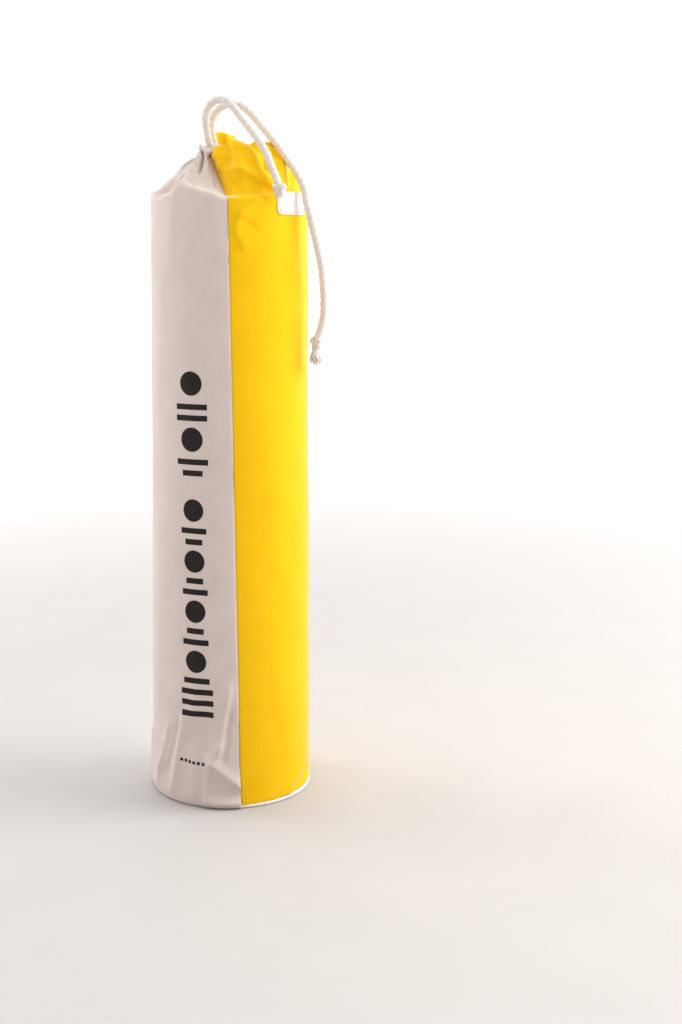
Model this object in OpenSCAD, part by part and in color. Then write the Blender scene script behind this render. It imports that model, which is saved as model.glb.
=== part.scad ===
// Cylindrical drawstring bag of cotton canvas, filled out by a rolled mat.
// The origin is the centre of the base, +Z is up and the front seam faces -Y.
// The white half is on -X and the yellow half on +X.

/* [Body] */
// Outer diameter of the filled bag
bag_d = 174; // [164:1:184]
// Height of the rim, where the canvas turns in over the end of the roll
rim_h = 660; // [600:5:700]
// Thickness of the canvas
canvas_t = 1.4; // [0.8:0.1:2]
// Thickness of the round base, two layers of canvas
base_t = 2; // [1.6:0.1:2.4]
// Diameter of the piping round the base
piping_d = 4; // [3:0.2:4.4]
// Width of the bound seam allowance behind each seam
allowance_w = 16; // [10:1:24]
// Thickness of the bound seam allowance
allowance_t = 1.2; // [0.8:0.1:1.4]

/* [Gathered mouth] */
// Height of the gathered canvas above the rim, up to the casing
gather_h = 38; // [34:1:42]
// Half length of the gathered mouth, side to side
mouth_a = 42; // [36:1:46]
// Half width of the gathered mouth, front to back
mouth_b = 24; // [18:1:28]
// How far the gathered mouth sits to the right of the bag's axis
mouth_shift = 11; // [6:1:16]
// Height of the casing at its two ends
casing_low = 8; // [7.5:0.5:10]
// Extra height of the casing at its front and back
casing_rise = 10; // [6:1:14]
// How far the casing flares out at its top edge
casing_flare = 1.08; // [1:0.01:1.12]

/* [Rope] */
// Diameter of the cotton rope
rope_d = 8; // [6:0.5:9]
// Diameter of the drawcord inside the casing, where the gathers press it
loop_d = 5; // [4:0.5:6]
// Diameter of the carry rope's knot
carry_knot_d = 13; // [12:0.5:14]
// Diameter of the knot on the tail
tail_knot_d = 15; // [13:0.5:17]
// Length of the frayed tassel
tassel_l = 22; // [16:1:28]
// Width of the tassel at its open end
tassel_d = 18; // [14:1:22]

/* [Tab] */
// Angle that the tab covers round the bag
tab_angle = 33; // [28:1:36]
// Angle of the tab's left edge, from +X towards the front
tab_start = 55; // [50:1:58]
// Height of the tab
tab_h = 25; // [20:1:30]
// Thickness of the tab, canvas folded double
tab_t = 1.6; // [1.2:0.1:1.8]
// Number of stitches along the tab's lower edge
tab_stitches = 14; // [8:1:18]

/* [Roll] */
// Thickness of the mat
mat_t = 10; // [6:0.5:10]
// Distance from one turn of the mat to the next
mat_pitch = 11; // [10.5:0.1:12]
// Radius of the hollow core of the roll
mat_core_r = 14; // [10:1:20]
// Width of the mat, which is the length of the roll
mat_w = 652; // [590:1:652]

/* [Hidden] */

bag_r = bag_d / 2;
inner_r = bag_r - canvas_t;
gap = 0.2;               // clearance between neighbouring layers of cloth
seam_gap = 0.3;          // half of the open line between the two panels
round_fn = 96;
knot_fn = 32;
base_r = bag_r - piping_d - 2 * gap;
piping_r = bag_r - piping_d / 2 - gap;
piping_z = piping_d / 2 + gap;
panel_z = piping_z + piping_d / 2 + gap;
allowance_r = inner_r - gap;
mat_r = allowance_r - allowance_t - gap;
mat_z = panel_z;
mat_steps = 32;          // facets in one turn of the mat
mat_turns = (mat_r - mat_t - mat_core_r) / mat_pitch;

gather_z = rim_h;
casing_z = rim_h + gather_h;
gather_steps = 8;        // rings from the rim to the casing
gather_points = 28;      // points round each half of a ring
bulge = 1.2;             // how much rounder the right side is than the left
casing_steps = 3;        // facets up the outer wall of the casing
casing_inner = 0.45;     // size of the open mouth inside the casing
loop_z = casing_z + loop_d / 2 + 1.5; // centre height of the drawcord loop
loop_rings = 28;
loop_inset = 0.72;       // size of the drawcord loop against the gathered mouth
stitch_l = 2.2;
stitch_d = 0.8;
tab_z = rim_h - tab_h + 3;
tab_r = bag_r + 0.3;
tab_margin = 3;          // from the tab's lower edge up to its stitches

rope_sides = 10;
rope_steps = 2;          // rings for each step of a route

// The carry rope, from its place in the neck over the arch to its knot at the tab.
carry_route = [[-22, -10, 714], [-24, -13, 723], [-26, -14, 735], [-27, -20, 748], [-22, -24, 759],
               [-14, -28, 764], [-6, -34, 763], [2, -41, 755], [10, -45, 744], [17, -50, 734],
               [26, -58, 721], [35, -66, 705], [41, -74, 688], [46, -80, 674], [48, -84, 664]];
// The tail, from the neck over the ruffle and down the right side to its knot.
tail_route = [[-15, -3, 712], [-19, -3, 726], [-20, -3, 738], [-18, -4, 748], [-11, -7, 757],
              [-2, -10, 761], [10, -14, 760], [20, -20, 753], [34, -28, 736], [47, -37, 719],
              [58, -45, 702], [69, -52, 685], [77, -57, 668], [80, -58, 652], [84, -58, 636],
              [90, -57, 612], [96, -56, 585], [99, -55, 555], [99, -55, 530], [95, -54, 512],
              [91, -53, 503]];
carry_knot_at = carry_route[len(carry_route) - 1];
tail_knot_at = [91, -53, 499];
tassel_at = [89, -52.5, 492];

// Catmull-Rom point at share u of the span that starts at point i.
function end_point(p, i) = p[max(0, min(len(p) - 1, i))];
function curve_at(p, i, u) =
    let (a = end_point(p, i - 1), b = p[i], c = end_point(p, i + 1), d = end_point(p, i + 2))
    0.5 * (2 * b + (c - a) * u + (2 * a - 5 * b + 4 * c - d) * u * u
           + (3 * b - a - 3 * c + d) * u * u * u);
function curve(p, n) = [for (i = [0:len(p) - 2], k = [0:n - 1]) curve_at(p, i, k / n), p[len(p) - 1]];
function unit(v) = v / norm(v);
function tangent(p, i) = unit(end_point(p, i + 1) - end_point(p, i - 1));
// A ring of points round p[i], square to the path. No route here runs along Y.
function ring(p, i, t, r, n) =
    let (u = unit(cross(t, [0, 1, 0])), v = cross(t, u))
    [for (k = [0:n - 1]) p[i] + r * (cos(360 * k / n) * u + sin(360 * k / n) * v)];

// Skin over rings of m points each, capped at both ends or closed into a loop.
module skin(rings, closed = false) {
    m = len(rings[0]);
    count = len(rings);
    last = closed ? count - 1 : count - 2;
    points = [for (r = rings) for (p = r) p];
    sides = [for (i = [0:last], j = [0:m - 1], half = [0:1])
        let (a = i * m + j, b = i * m + (j + 1) % m,
             c = ((i + 1) % count) * m + (j + 1) % m, d = ((i + 1) % count) * m + j)
        half == 0 ? [a, d, c] : [a, c, b]];
    caps = closed ? [] : [[for (j = [0:m - 1]) j], [for (j = [m - 1:-1:0]) (count - 1) * m + j]];
    polyhedron(points = points, faces = concat(sides, caps), convexity = 6);
}

module rope(route) {
    path = curve(route, rope_steps);
    skin([for (i = [0:len(path) - 1]) ring(path, i, tangent(path, i), rope_d / 2, rope_sides)]);
}

// Point of the gathered canvas at angle a round the bag and share t of the way up.
// The rim is a circle, the mouth an ellipse, and the two seams lean to the left.
function mouth_angle(a) = a > 90 ? 180 + (a - 180) / 2 : a * 1.5;
function mouth_point(a, size) =
    let (b = mouth_angle(a)) [mouth_shift + size * mouth_a * cos(b), size * mouth_b * sin(b)];
function gather_point(a, t) =
    let (f = pow(t, 1 + bulge * (0.5 + 0.5 * cos(a))), top = mouth_point(a, 1))
    [(1 - f) * bag_r * cos(a) + f * top[0], (1 - f) * bag_r * sin(a) + f * top[1],
     gather_z + gather_h * t];
function casing_point(a, t) =
    let (p = mouth_point(a, 1 + (casing_flare - 1) * t), s = sin(mouth_angle(a)))
    [p[0], p[1], casing_z + (casing_low + casing_rise * s * s) * t];
// Angles from one seam round to the other: the white half goes round by -X.
function half_angles(white) =
    [for (i = [0:gather_points]) (white ? 90 : -90) + 180 * i / gather_points];

module gather(white) {
    skin([for (s = [0:gather_steps]) [for (a = half_angles(white)) gather_point(a, s / gather_steps)]]);
}

// The drawcord's own loop, an ellipse level in the casing.
module loop_tube(d) {
    path = [for (i = [0:loop_rings - 1]) let (a = 360 * i / loop_rings)
        [mouth_shift + loop_inset * mouth_a * cos(a), loop_inset * mouth_b * sin(a), loop_z]];
    skin([for (i = [0:loop_rings - 1])
        let (t = unit(path[(i + 1) % loop_rings] - path[(i + loop_rings - 1) % loop_rings]),
             u = cross(t, [0, 0, 1]))
        [for (k = [0:7]) path[i] + d / 2 * (sin(45 * k) * u + cos(45 * k) * [0, 0, 1])]], closed = true);
}

// One cut through the casing at angle a: up its inner wall, over its top and down its outer wall.
function casing_cut(a) =
    let (inner = mouth_point(a, casing_inner), top = casing_point(a, 1))
    concat([[inner[0], inner[1], casing_z], [inner[0], inner[1], top[2]]],
           [for (s = [casing_steps:-1:0]) casing_point(a, s / casing_steps)]);

// Half of the casing, with a channel for the drawcord.
module casing(white) {
    difference() {
        skin([for (a = half_angles(white)) casing_cut(a)]);
        loop_tube(loop_d + 2 * gap);
    }
}

module half_tube(white, r_out, r_in, z, h) {
    rotate([0, 0, white ? 90 : -90])
        translate([0, 0, z])
            difference() {
                rotate_extrude(angle = 180, $fn = round_fn)
                    translate([r_in, 0]) square([r_out - r_in, h]);
                translate([-bag_r - 1, -1, -1]) cube([2 * bag_r + 2, 1 + seam_gap, h + 2]);
            }
}

module allowance(front) {
    half = allowance_w / 2;
    translate([0, 0, panel_z])
        intersection() {
            difference() {
                cylinder(r = allowance_r, h = mat_w, $fn = round_fn);
                translate([0, 0, -1]) cylinder(r = allowance_r - allowance_t, h = mat_w + 2, $fn = round_fn);
            }
            translate([-half, front ? -bag_r : 0, 0]) cube([allowance_w, bag_r, mat_w]);
        }
}

module white_panel() {
    color("#dcd3cd") half_tube(true, bag_r, inner_r, panel_z, rim_h - panel_z);
}

module yellow_panel() {
    color("#f7c40c") half_tube(false, bag_r, inner_r, panel_z, rim_h - panel_z);
}

module front_seam() {
    color("#efe9e2") allowance(true);
}

module back_seam() {
    color("#efe9e2") allowance(false);
}

module base_disc() {
    color("#e6dfd8") cylinder(r = base_r, h = base_t, $fn = round_fn);
}

module base_piping() {
    color("#f3eee8")
        translate([0, 0, piping_z])
            rotate_extrude($fn = round_fn)
                translate([piping_r, 0]) circle(d = piping_d, $fn = knot_fn);
}

// A spiral strip: out along its outer face and back along its inner face.
module mat_roll() {
    steps = floor(mat_turns * mat_steps);
    function spiral(i, inset) =
        let (a = 360 * i / mat_steps, r = mat_core_r + mat_t + mat_pitch * i / mat_steps - inset)
        [r * cos(a), r * sin(a)];
    outline = concat([for (i = [0:steps]) spiral(i, 0)], [for (i = [steps:-1:0]) spiral(i, mat_t)]);
    color("#51406b") translate([0, 0, mat_z]) linear_extrude(mat_w) polygon(outline);
}

module white_gather() {
    color("#d8cdc6") gather(true);
}

module yellow_gather() {
    color("#f2bd08") gather(false);
}

module white_casing() {
    color("#e4dcd6") casing(true);
}

module yellow_casing() {
    color("#e8b000") casing(false);
}

module drawcord_loop() {
    color("#eee6dc") loop_tube(loop_d);
}

module cord_tab() {
    color("#f4f0ec")
        rotate([0, 0, -tab_start])
            translate([0, 0, tab_z])
                rotate_extrude(angle = tab_angle, $fn = round_fn)
                    translate([tab_r, 0]) square([tab_t, tab_h]);
}

module tab_stitching() {
    step = tab_angle / (tab_stitches + 1);
    color("#fbf8f4")
        for (i = [1:tab_stitches])
            rotate([0, 0, -tab_start + step * i])
                translate([tab_r + tab_t + stitch_d / 2 + 0.05, 0, tab_z + tab_margin])
                    rotate([90, 0, 0]) cylinder(d = stitch_d, h = stitch_l, center = true, $fn = 16);
}

module carry_rope() {
    color("#ece4dc") rope(carry_route);
}

module carry_knot() {
    color("#d9d2cc") translate(carry_knot_at) sphere(d = carry_knot_d, $fn = knot_fn);
}

module tail_rope() {
    color("#efe2d2") rope(tail_route);
}

module tail_knot() {
    color("#ead9c4") translate(tail_knot_at) sphere(d = tail_knot_d, $fn = knot_fn);
}

module tail_tassel() {
    color("#f0dfc6")
        translate(tassel_at)
            mirror([0, 0, 1])
                cylinder(d1 = rope_d, d2 = tassel_d, h = tassel_l, $fn = knot_fn);
}

white_panel();
yellow_panel();
front_seam();
back_seam();
base_disc();
base_piping();
mat_roll();
white_gather();
yellow_gather();
white_casing();
yellow_casing();
drawcord_loop();
cord_tab();
tab_stitching();
carry_rope();
carry_knot();
tail_rope();
tail_knot();
tail_tassel();
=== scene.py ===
"""A tall round drawstring bag of canvas, half natural and half yellow, filled by a rolled mat."""
import math

import bmesh
import bpy
import numpy as np
from bpy.props import FloatProperty, FloatVectorProperty, PointerProperty
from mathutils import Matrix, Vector


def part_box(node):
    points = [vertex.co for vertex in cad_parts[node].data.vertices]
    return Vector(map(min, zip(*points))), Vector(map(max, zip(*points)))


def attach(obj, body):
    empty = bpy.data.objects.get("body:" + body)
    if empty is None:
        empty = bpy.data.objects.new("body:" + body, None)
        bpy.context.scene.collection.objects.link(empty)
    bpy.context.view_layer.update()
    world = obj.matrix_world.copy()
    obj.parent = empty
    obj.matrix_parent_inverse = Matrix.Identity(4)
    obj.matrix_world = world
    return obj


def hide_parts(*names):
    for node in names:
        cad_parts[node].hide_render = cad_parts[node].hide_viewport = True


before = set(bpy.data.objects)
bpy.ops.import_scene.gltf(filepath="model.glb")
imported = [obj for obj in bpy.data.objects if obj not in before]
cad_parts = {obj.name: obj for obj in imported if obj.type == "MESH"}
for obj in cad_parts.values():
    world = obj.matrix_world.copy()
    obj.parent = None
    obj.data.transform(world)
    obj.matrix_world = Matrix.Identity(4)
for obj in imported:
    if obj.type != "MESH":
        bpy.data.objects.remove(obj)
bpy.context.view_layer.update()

bl_info = {
    "name": "Canvas Mat Bag",
    "version": (1, 0, 0),
    "blender": (4, 5, 0),
    "location": "3D View > Sidebar > Mat Bag",
    "description": "Makes a drawstring mat bag of canvas with its ropes, knots, tab and studio",
    "category": "Object",
}

MM = 0.001                        # shapes are worked out in millimetres and put in the mesh in metres
PANEL_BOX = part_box("yellow_panel")
BAG_R = round(PANEL_BOX[1].x / MM, 2)
RIM_Z = round(PANEL_BOX[1].z / MM, 2)
TAB_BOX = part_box("cord_tab")

# Mouth of the bag: an ellipse to the right of the axis, where the drawcord gathers the cloth.
MOUTH_X, MOUTH_A, MOUTH_B = 11.0, 42.0, 24.0
EDGE_V, TURNED_IN = 720, 38       # height up the cloth at its top edge, and how much is turned inside
# The laid rope, as shares of its radius: how far out the middle of a strand lies, the strand's own
# radius, how much fuller the rope is drawn, and how deep its grooves go.
STRAND_OUT, STRAND_R, FULLER, GROOVE = 0.536, 0.464, 1.13, 0.88
KNOT_LAY = 14.0                   # a strand's turn inside a knot, where the rope is squeezed
TAB_R, TAB_ANGLE = 88.9, -41.5    # distance of the tab's face from the bag's axis, and its angle
PRINT_ANGLE = 240.0

# Routes of the two ropes, in millimetres.
CARRY_ROUTE = [(-22, -10, 714), (-24, -13, 723), (-26, -14, 735), (-27, -20, 748), (-22, -24, 759),
               (-14, -28, 764), (-6, -34, 763), (2, -41, 755), (10, -45, 744), (17, -50, 734),
               (26, -58, 721), (35, -66, 705), (41, -74, 688), (46, -80, 674), (48, -84, 664)]
TAIL_ROUTE = [(-15, -3, 712), (-19, -3, 726), (-20, -3, 738), (-18, -4, 748), (-11, -7, 757),
              (-2, -10, 761), (10, -14, 760), (20, -20, 753), (34, -28, 736), (47, -37, 719),
              (58, -45, 702), (69, -52, 685), (77, -57, 668), (80, -58, 652), (84, -58, 636),
              (90, -57, 612), (96, -56, 585), (99, -55, 555), (99, -55, 530), (95, -54, 512),
              (91, -53, 503)]
TAIL_KNOT_AT = (91, -53, 499)
TASSEL_AT = (89, -52.5, 492)


# ---------------- numbers and meshes

def linear(hex_colour):
    """Linear RGBA of an sRGB hex colour: c / 12.92 below 0.04045, else ((c + 0.055) / 1.055) ^ 2.4."""
    s = np.array([int(hex_colour[i:i + 2], 16) for i in (1, 3, 5)]) / 255
    rgb = np.where(s <= 0.04045, s / 12.92, ((s + 0.055) / 1.055) ** 2.4)
    return (*rgb.tolist(), 1.0)


def unit(vectors):
    """Vectors divided by their own lengths."""
    return vectors / np.maximum(np.linalg.norm(vectors, axis=-1, keepdims=True), 1e-9)


def polar(r, turn, z):
    """Points r from the bag's axis, at an angle turn in radians and a height z."""
    return np.stack(np.broadcast_arrays(r * np.cos(turn), r * np.sin(turn), z), -1)


def spline(points, step):
    """Catmull-Rom curve through the points, resampled so that neighbours lie step apart.

    On the span from b to c, between a and d, the point at share u is half of
    2b + (c - a)u + (2a - 5b + 4c - d)u^2 + (3b - a - 3c + d)u^3.
    """
    p = np.asarray(points, float)
    p = np.concatenate([p[:1], p, p[-1:]])
    a, b, c, d = (p[i:len(p) - 3 + i, None] for i in range(4))
    u = np.linspace(0, 1, 40, endpoint=False)[None, :, None]
    fine = 0.5 * (2 * b + (c - a) * u + (2 * a - 5 * b + 4 * c - d) * u ** 2
                  + (3 * b - a - 3 * c + d) * u ** 3)
    fine = np.concatenate([fine.reshape(-1, 3), p[-1:]])
    along = np.concatenate([[0], np.cumsum(np.linalg.norm(np.diff(fine, axis=0), axis=1))])
    at = np.linspace(0, along[-1], int(along[-1] / step) + 2)
    return np.stack([np.interp(at, along, fine[:, i]) for i in range(3)], 1), at


def grid_faces(rows, columns):
    """Quads of a grid: they face outwards where columns run anticlockwise and rows run up."""
    i = np.arange(rows * columns).reshape(rows, columns)
    return np.stack([i[:-1, :-1], i[:-1, 1:], i[1:, 1:], i[1:, :-1]], -1).reshape(-1, 4)


def make_piece(name, grids, material, uvs=None, weld=True, outward=False):
    """One mesh object from grids of points in millimetres, each of rows by columns by 3."""
    points, faces, coords, start = [], [], [], 0
    for k, grid in enumerate(grids):
        rows, columns = grid.shape[:2]
        faces.append(grid_faces(rows, columns) + start)
        points.append(grid.reshape(-1, 3))
        coords.append((uvs[k] if uvs else grid[..., :2]).reshape(-1, 2))
        start += rows * columns
    points, faces, coords = (np.concatenate(x) for x in (points, faces, coords))
    mesh = bpy.data.meshes.new(name)
    mesh.from_pydata((points * MM).tolist(), [], faces.tolist())
    layer = mesh.uv_layers.new(name="UVMap")
    layer.data.foreach_set("uv", (coords[faces.ravel()] * MM).astype(np.float32).ravel())
    if weld:
        shape = bmesh.new()
        shape.from_mesh(mesh)
        bmesh.ops.remove_doubles(shape, verts=shape.verts, dist=1e-6)
        bmesh.ops.dissolve_degenerate(shape, edges=shape.edges, dist=1e-7)
        if outward:
            bmesh.ops.recalc_face_normals(shape, faces=shape.faces)
        shape.to_mesh(mesh)
        shape.free()
    mesh.polygons.foreach_set("use_smooth", [True] * len(mesh.polygons))
    mesh.materials.append(material)
    piece = bpy.data.objects.new(name, mesh)
    bpy.context.scene.collection.objects.link(piece)
    return piece


def tube(path, radius, sides, away_from=None):
    """Grid of a closed tube: rings square to the path, with both ends drawn in to a point.

    Each ring's first axis is the tangent crossed with +Y, or points away from a centre. radius is a
    number or an array of rings by sides, and the ring runs from 0 to 360 degrees.
    """
    tangent = unit(np.gradient(path, axis=0))
    if away_from is None:
        u = unit(np.cross(tangent, [0.0, 1.0, 0.0]))
    else:
        out = path - np.asarray(away_from)
        u = unit(out - (out * tangent).sum(1, keepdims=True) * tangent)
    v = np.cross(tangent, u)
    turn = np.linspace(0, 2 * np.pi, sides + 1)
    r = np.broadcast_to(radius, (len(path), sides + 1))[..., None]
    ring = path[:, None] + r * (np.cos(turn)[:, None] * u[:, None]
                                + np.sin(turn)[:, None] * v[:, None])
    ends = [np.broadcast_to(path[i], (1, sides + 1, 3)) for i in (0, -1)]
    return np.concatenate([ends[0], ring, ends[1]])


def strand_radius(turn, size):
    """Outline of three round strands laid together in a rope of radius size.

    A strand of radius 0.464 size has its centre 0.536 size from the middle. The outline is
    0.536 cos p + sqrt(0.464^2 - (0.536 sin p)^2) with p the angle from the nearest strand, and at
    least 0.88 where two strands meet, as cotton fills the groove. It is drawn 13% fuller, so a rope
    of radius 4 mm is 9 mm across over its strands and 8 mm across in its grooves.
    """
    p = (turn + np.pi / 3) % (2 * np.pi / 3) - np.pi / 3
    outline = STRAND_OUT * np.cos(p) + np.sqrt(
        np.maximum(STRAND_R ** 2 - (STRAND_OUT * np.sin(p)) ** 2, 0))
    return size * FULLER * np.maximum(outline, GROOVE)


def twisted_rope(path, along, diameter, lay, sides=24, away_from=None):
    """Tube grid and its own coordinates for a rope whose strands turn once in each lay length."""
    turn = np.linspace(0, 2 * np.pi, sides + 1)[None, :] - 2 * np.pi * along[:, None] / lay
    radius = strand_radius(turn, diameter / 2)
    grid = tube(path, radius, sides, away_from)
    length = np.concatenate([along[:1], along, along[-1:]])
    round_it = np.linspace(0, np.pi * diameter, sides + 1)
    uv = np.stack(np.broadcast_arrays(round_it[None, :], length[:, None]), -1)
    return grid, uv


# ---------------- materials

def add_node(tree, kind, inputs=None, **settings):
    """Adds a node, sets its properties, and sets or links its inputs."""
    node = tree.nodes.new(kind)
    for name, value in settings.items():
        setattr(node, name, value)
    for name, value in (inputs or {}).items():
        if isinstance(value, bpy.types.NodeSocket):
            tree.links.new(value, node.inputs[name])
        else:
            node.inputs[name].default_value = value
    return node


def new_material(name, coordinates="Object"):
    """An empty material, its node tree, and the coordinates that its patterns follow."""
    material = bpy.data.materials.new(name)
    material.use_nodes = True
    tree = material.node_tree
    tree.nodes.clear()
    return material, tree, add_node(tree, "ShaderNodeTexCoord").outputs[coordinates]


def finish_material(material, factor, shade, light, height, strength, depth, finish, under=None):
    """Ends a material and returns it: two tones mixed by factor, relief from height, and the
    shader's own values. Relief is a share, strength, of a depth in metres, and may lie on another."""
    tree = material.node_tree
    tone = add_node(tree, "ShaderNodeMix", {"Factor": factor, "A": shade, "B": light}, data_type="RGBA")
    bump = add_node(tree, "ShaderNodeBump", {
        "Strength": strength, "Distance": depth, "Height": height,
        **({} if under is None else {"Normal": under})})
    shader = add_node(tree, "ShaderNodeBsdfPrincipled", {
        "Base Color": tone.outputs["Result"], "Normal": bump.outputs[0], **finish})
    add_node(tree, "ShaderNodeOutputMaterial", {"Surface": shader.outputs["BSDF"]})
    return material


def wave_scale(apart):
    """Scale of a wave texture with bands apart mm from each other: at scale 1 it has 3.18 a metre."""
    return 1 / (apart * MM) / 3.18


def darker(colour, share):
    """A colour at a share of its brightness."""
    return tuple(share * c for c in colour[:3]) + (1.0,)


def woven_canvas(name, shade, light, fleck, sheen=0.25, bloom=0.45):
    """Cotton canvas, woven plain from thick unbleached or dyed yarn: matt, with a soft bloom at the
    edges of its round shapes, slubs along both threads, and slight unevenness of colour.

    The yarns of such canvas lie about 0.6 mm apart. They are drawn 1.5 mm apart, the finest that shows.
    """
    material, tree, uv = new_material(name, "UV")
    warp, weft = (add_node(tree, "ShaderNodeTexWave", {
        "Vector": uv, "Scale": wave_scale(1.5), "Distortion": 0.6, "Detail": 1.0, "Detail Scale": 2.0},
        bands_direction=way).outputs["Fac"] for way in "XY")
    weave = add_node(tree, "ShaderNodeMath", {0: warp, 1: weft}, operation="MULTIPLY")
    # slubs: thicker stretches of yarn, about 1.5 mm wide and 12 mm long, along either thread
    slubs = []
    for scale in ((80, 650, 1), (650, 80, 1)):
        drawn = add_node(tree, "ShaderNodeMapping", {"Vector": uv, "Scale": scale})
        slubs.append(add_node(tree, "ShaderNodeTexNoise", {
            "Vector": drawn.outputs[0], "Scale": 1.0, "Detail": 2.0}).outputs["Fac"])
    slub = add_node(tree, "ShaderNodeMath", dict(enumerate(slubs)), operation="MAXIMUM").outputs[0]
    # unevenness of the cloth's colour over 40 mm or so
    patch = add_node(tree, "ShaderNodeTexNoise", {"Vector": uv, "Scale": 25.0, "Detail": 3.0})
    mixed = add_node(tree, "ShaderNodeMath", {0: slub, 1: patch.outputs["Fac"]}, operation="ADD")
    tone = add_node(tree, "ShaderNodeMapRange", {
        "Value": mixed.outputs[0], "From Min": 0.75, "From Max": 1.4})
    colour = add_node(tree, "ShaderNodeMix", {"Factor": tone.outputs[0], "A": shade, "B": light},
                      data_type="RGBA")
    # flecks, about 2.5 mm across
    spot = add_node(tree, "ShaderNodeTexNoise", {"Vector": uv, "Scale": 420.0, "Detail": 1.0})
    spots = add_node(tree, "ShaderNodeMapRange", {
        "Value": spot.outputs["Fac"], "From Min": 0.72, "From Max": 0.8, "To Max": 0.5})
    # crumples too small to model, about 12 mm across
    crumple = add_node(tree, "ShaderNodeTexNoise", {
        "Vector": uv, "Scale": 85.0, "Detail": 4.0, "Roughness": 0.55})
    low = add_node(tree, "ShaderNodeBump", {
        "Strength": 0.3, "Distance": 0.0012, "Height": crumple.outputs["Fac"]})
    mid = add_node(tree, "ShaderNodeBump", {
        "Strength": 0.25, "Distance": 0.0003, "Height": slub, "Normal": low.outputs[0]})
    return finish_material(
        material, spots.outputs[0], colour.outputs["Result"], fleck, weave.outputs[0], 0.35, 0.0003,
        {"Roughness": 0.88, "IOR": 1.5, "Specular IOR Level": 0.25, "Sheen Weight": sheen,
         "Sheen Roughness": bloom}, under=mid.outputs[0])


def laid_cotton_rope(name, shade, light, lay, diameter):
    """Cotton rope, laid from three soft strands of many yarns: matt and fuzzy, the yarns showing."""
    material, tree, uv = new_material(name, "UV")
    # yarns run along each strand: 0.9 mm apart across the rope and as steep as the lay
    slope = math.atan2(math.pi * diameter, lay)
    turned = add_node(tree, "ShaderNodeMapping", {"Vector": uv, "Rotation": (0, 0, slope)})
    yarn = add_node(tree, "ShaderNodeTexWave", {
        "Vector": turned.outputs[0], "Scale": wave_scale(0.9), "Distortion": 1.2, "Detail": 2.0,
        "Detail Scale": 1.5}, bands_direction="X").outputs["Fac"]
    fuzz = add_node(tree, "ShaderNodeTexNoise", {
        "Vector": uv, "Scale": 700.0, "Detail": 3.0}).outputs["Fac"]
    height = add_node(tree, "ShaderNodeMath", {0: yarn, 1: fuzz}, operation="ADD").outputs[0]
    return finish_material(material, fuzz, shade, light, height, 0.5, 0.0004, {
        "Roughness": 0.92, "Specular IOR Level": 0.2, "Sheen Weight": 0.35, "Sheen Roughness": 0.5})


def spun_thread(name, colour):
    """Polyester-cotton sewing thread, spun and drawn tight: finer than the canvas, slightly glossy."""
    material, tree, place = new_material(name)
    ply = add_node(tree, "ShaderNodeTexWave", {"Vector": place, "Scale": 500.0, "Distortion": 0.5},
                   bands_direction="DIAGONAL").outputs["Fac"]
    return finish_material(material, ply, darker(colour, 0.8), colour, ply, 0.4, 0.0002,
                           {"Roughness": 0.55, "Sheen Weight": 0.1})


def screen_ink(name, colour):
    """Water-based screen ink, pressed into canvas and cured: a flat black, worn a little unevenly."""
    material, tree, place = new_material(name)
    grain = add_node(tree, "ShaderNodeTexNoise", {
        "Vector": place, "Scale": 600.0, "Detail": 3.0}).outputs["Fac"]
    worn = add_node(tree, "ShaderNodeMapRange", {
        "Value": grain, "From Min": 0.45, "From Max": 0.8, "To Max": 0.35}).outputs[0]
    return finish_material(material, worn, colour, linear("#3b3533"), grain, 0.3, 0.0002,
                           {"Roughness": 0.7, "Specular IOR Level": 0.3})


def closed_cell_foam(name, shade, light):
    """Closed-cell foam, cast and skinned: evenly matt and softly mottled, with pores 1 mm apart."""
    material, tree, place = new_material(name)
    pores = add_node(tree, "ShaderNodeTexVoronoi", {"Vector": place, "Scale": 900.0})
    mottle = add_node(tree, "ShaderNodeTexNoise", {"Vector": place, "Scale": 60.0, "Detail": 4.0})
    return finish_material(material, mottle.outputs["Fac"], shade, light, pores.outputs["Distance"],
                           0.4, 0.0003, {"Roughness": 0.8})


def binding_tape(name, shade, light):
    """Cotton herringbone tape, woven narrow and pressed flat: diagonal ribs about 2 mm apart."""
    material, tree, place = new_material(name)
    ribs = add_node(tree, "ShaderNodeTexWave", {"Vector": place, "Scale": 200.0, "Distortion": 0.5},
                    bands_direction="DIAGONAL").outputs["Fac"]
    return finish_material(material, ribs, shade, light, ribs, 0.4, 0.0003,
                           {"Roughness": 0.85, "Sheen Weight": 0.2})


def studio_floor(name):
    """Painted board, rolled with matt white emulsion: pale and even with the faintest mottle. Its
    colour is painted whiter from half a metre to 3.5 m away from where the bag stands: painted light,
    so that the far floor fades into the white backdrop."""
    material, tree, place = new_material(name)
    mottle = add_node(tree, "ShaderNodeTexNoise", {"Vector": place, "Scale": 9.0, "Detail": 3.0})
    near = add_node(tree, "ShaderNodeMix", {
        "Factor": mottle.outputs["Fac"], "A": linear("#b6b3b1"), "B": linear("#bcb9b7")},
        data_type="RGBA")
    # painted light: the floor turns white away from the bag, so that it fades into the white backdrop
    away = add_node(tree, "ShaderNodeVectorMath", {0: place}, operation="LENGTH")
    share = add_node(tree, "ShaderNodeMapRange", {
        "Value": away.outputs["Value"], "From Min": 0.5, "From Max": 3.5},
        interpolation_type="SMOOTHSTEP")
    tone = add_node(tree, "ShaderNodeMix", {
        "Factor": share.outputs[0], "A": near.outputs["Result"], "B": linear("#ffffff")},
        data_type="RGBA")
    shader = add_node(tree, "ShaderNodeBsdfPrincipled", {
        "Base Color": tone.outputs["Result"], "Roughness": 0.75, "Specular IOR Level": 0.2})
    add_node(tree, "ShaderNodeOutputMaterial", {"Surface": shader.outputs["BSDF"]})
    return material
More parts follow.
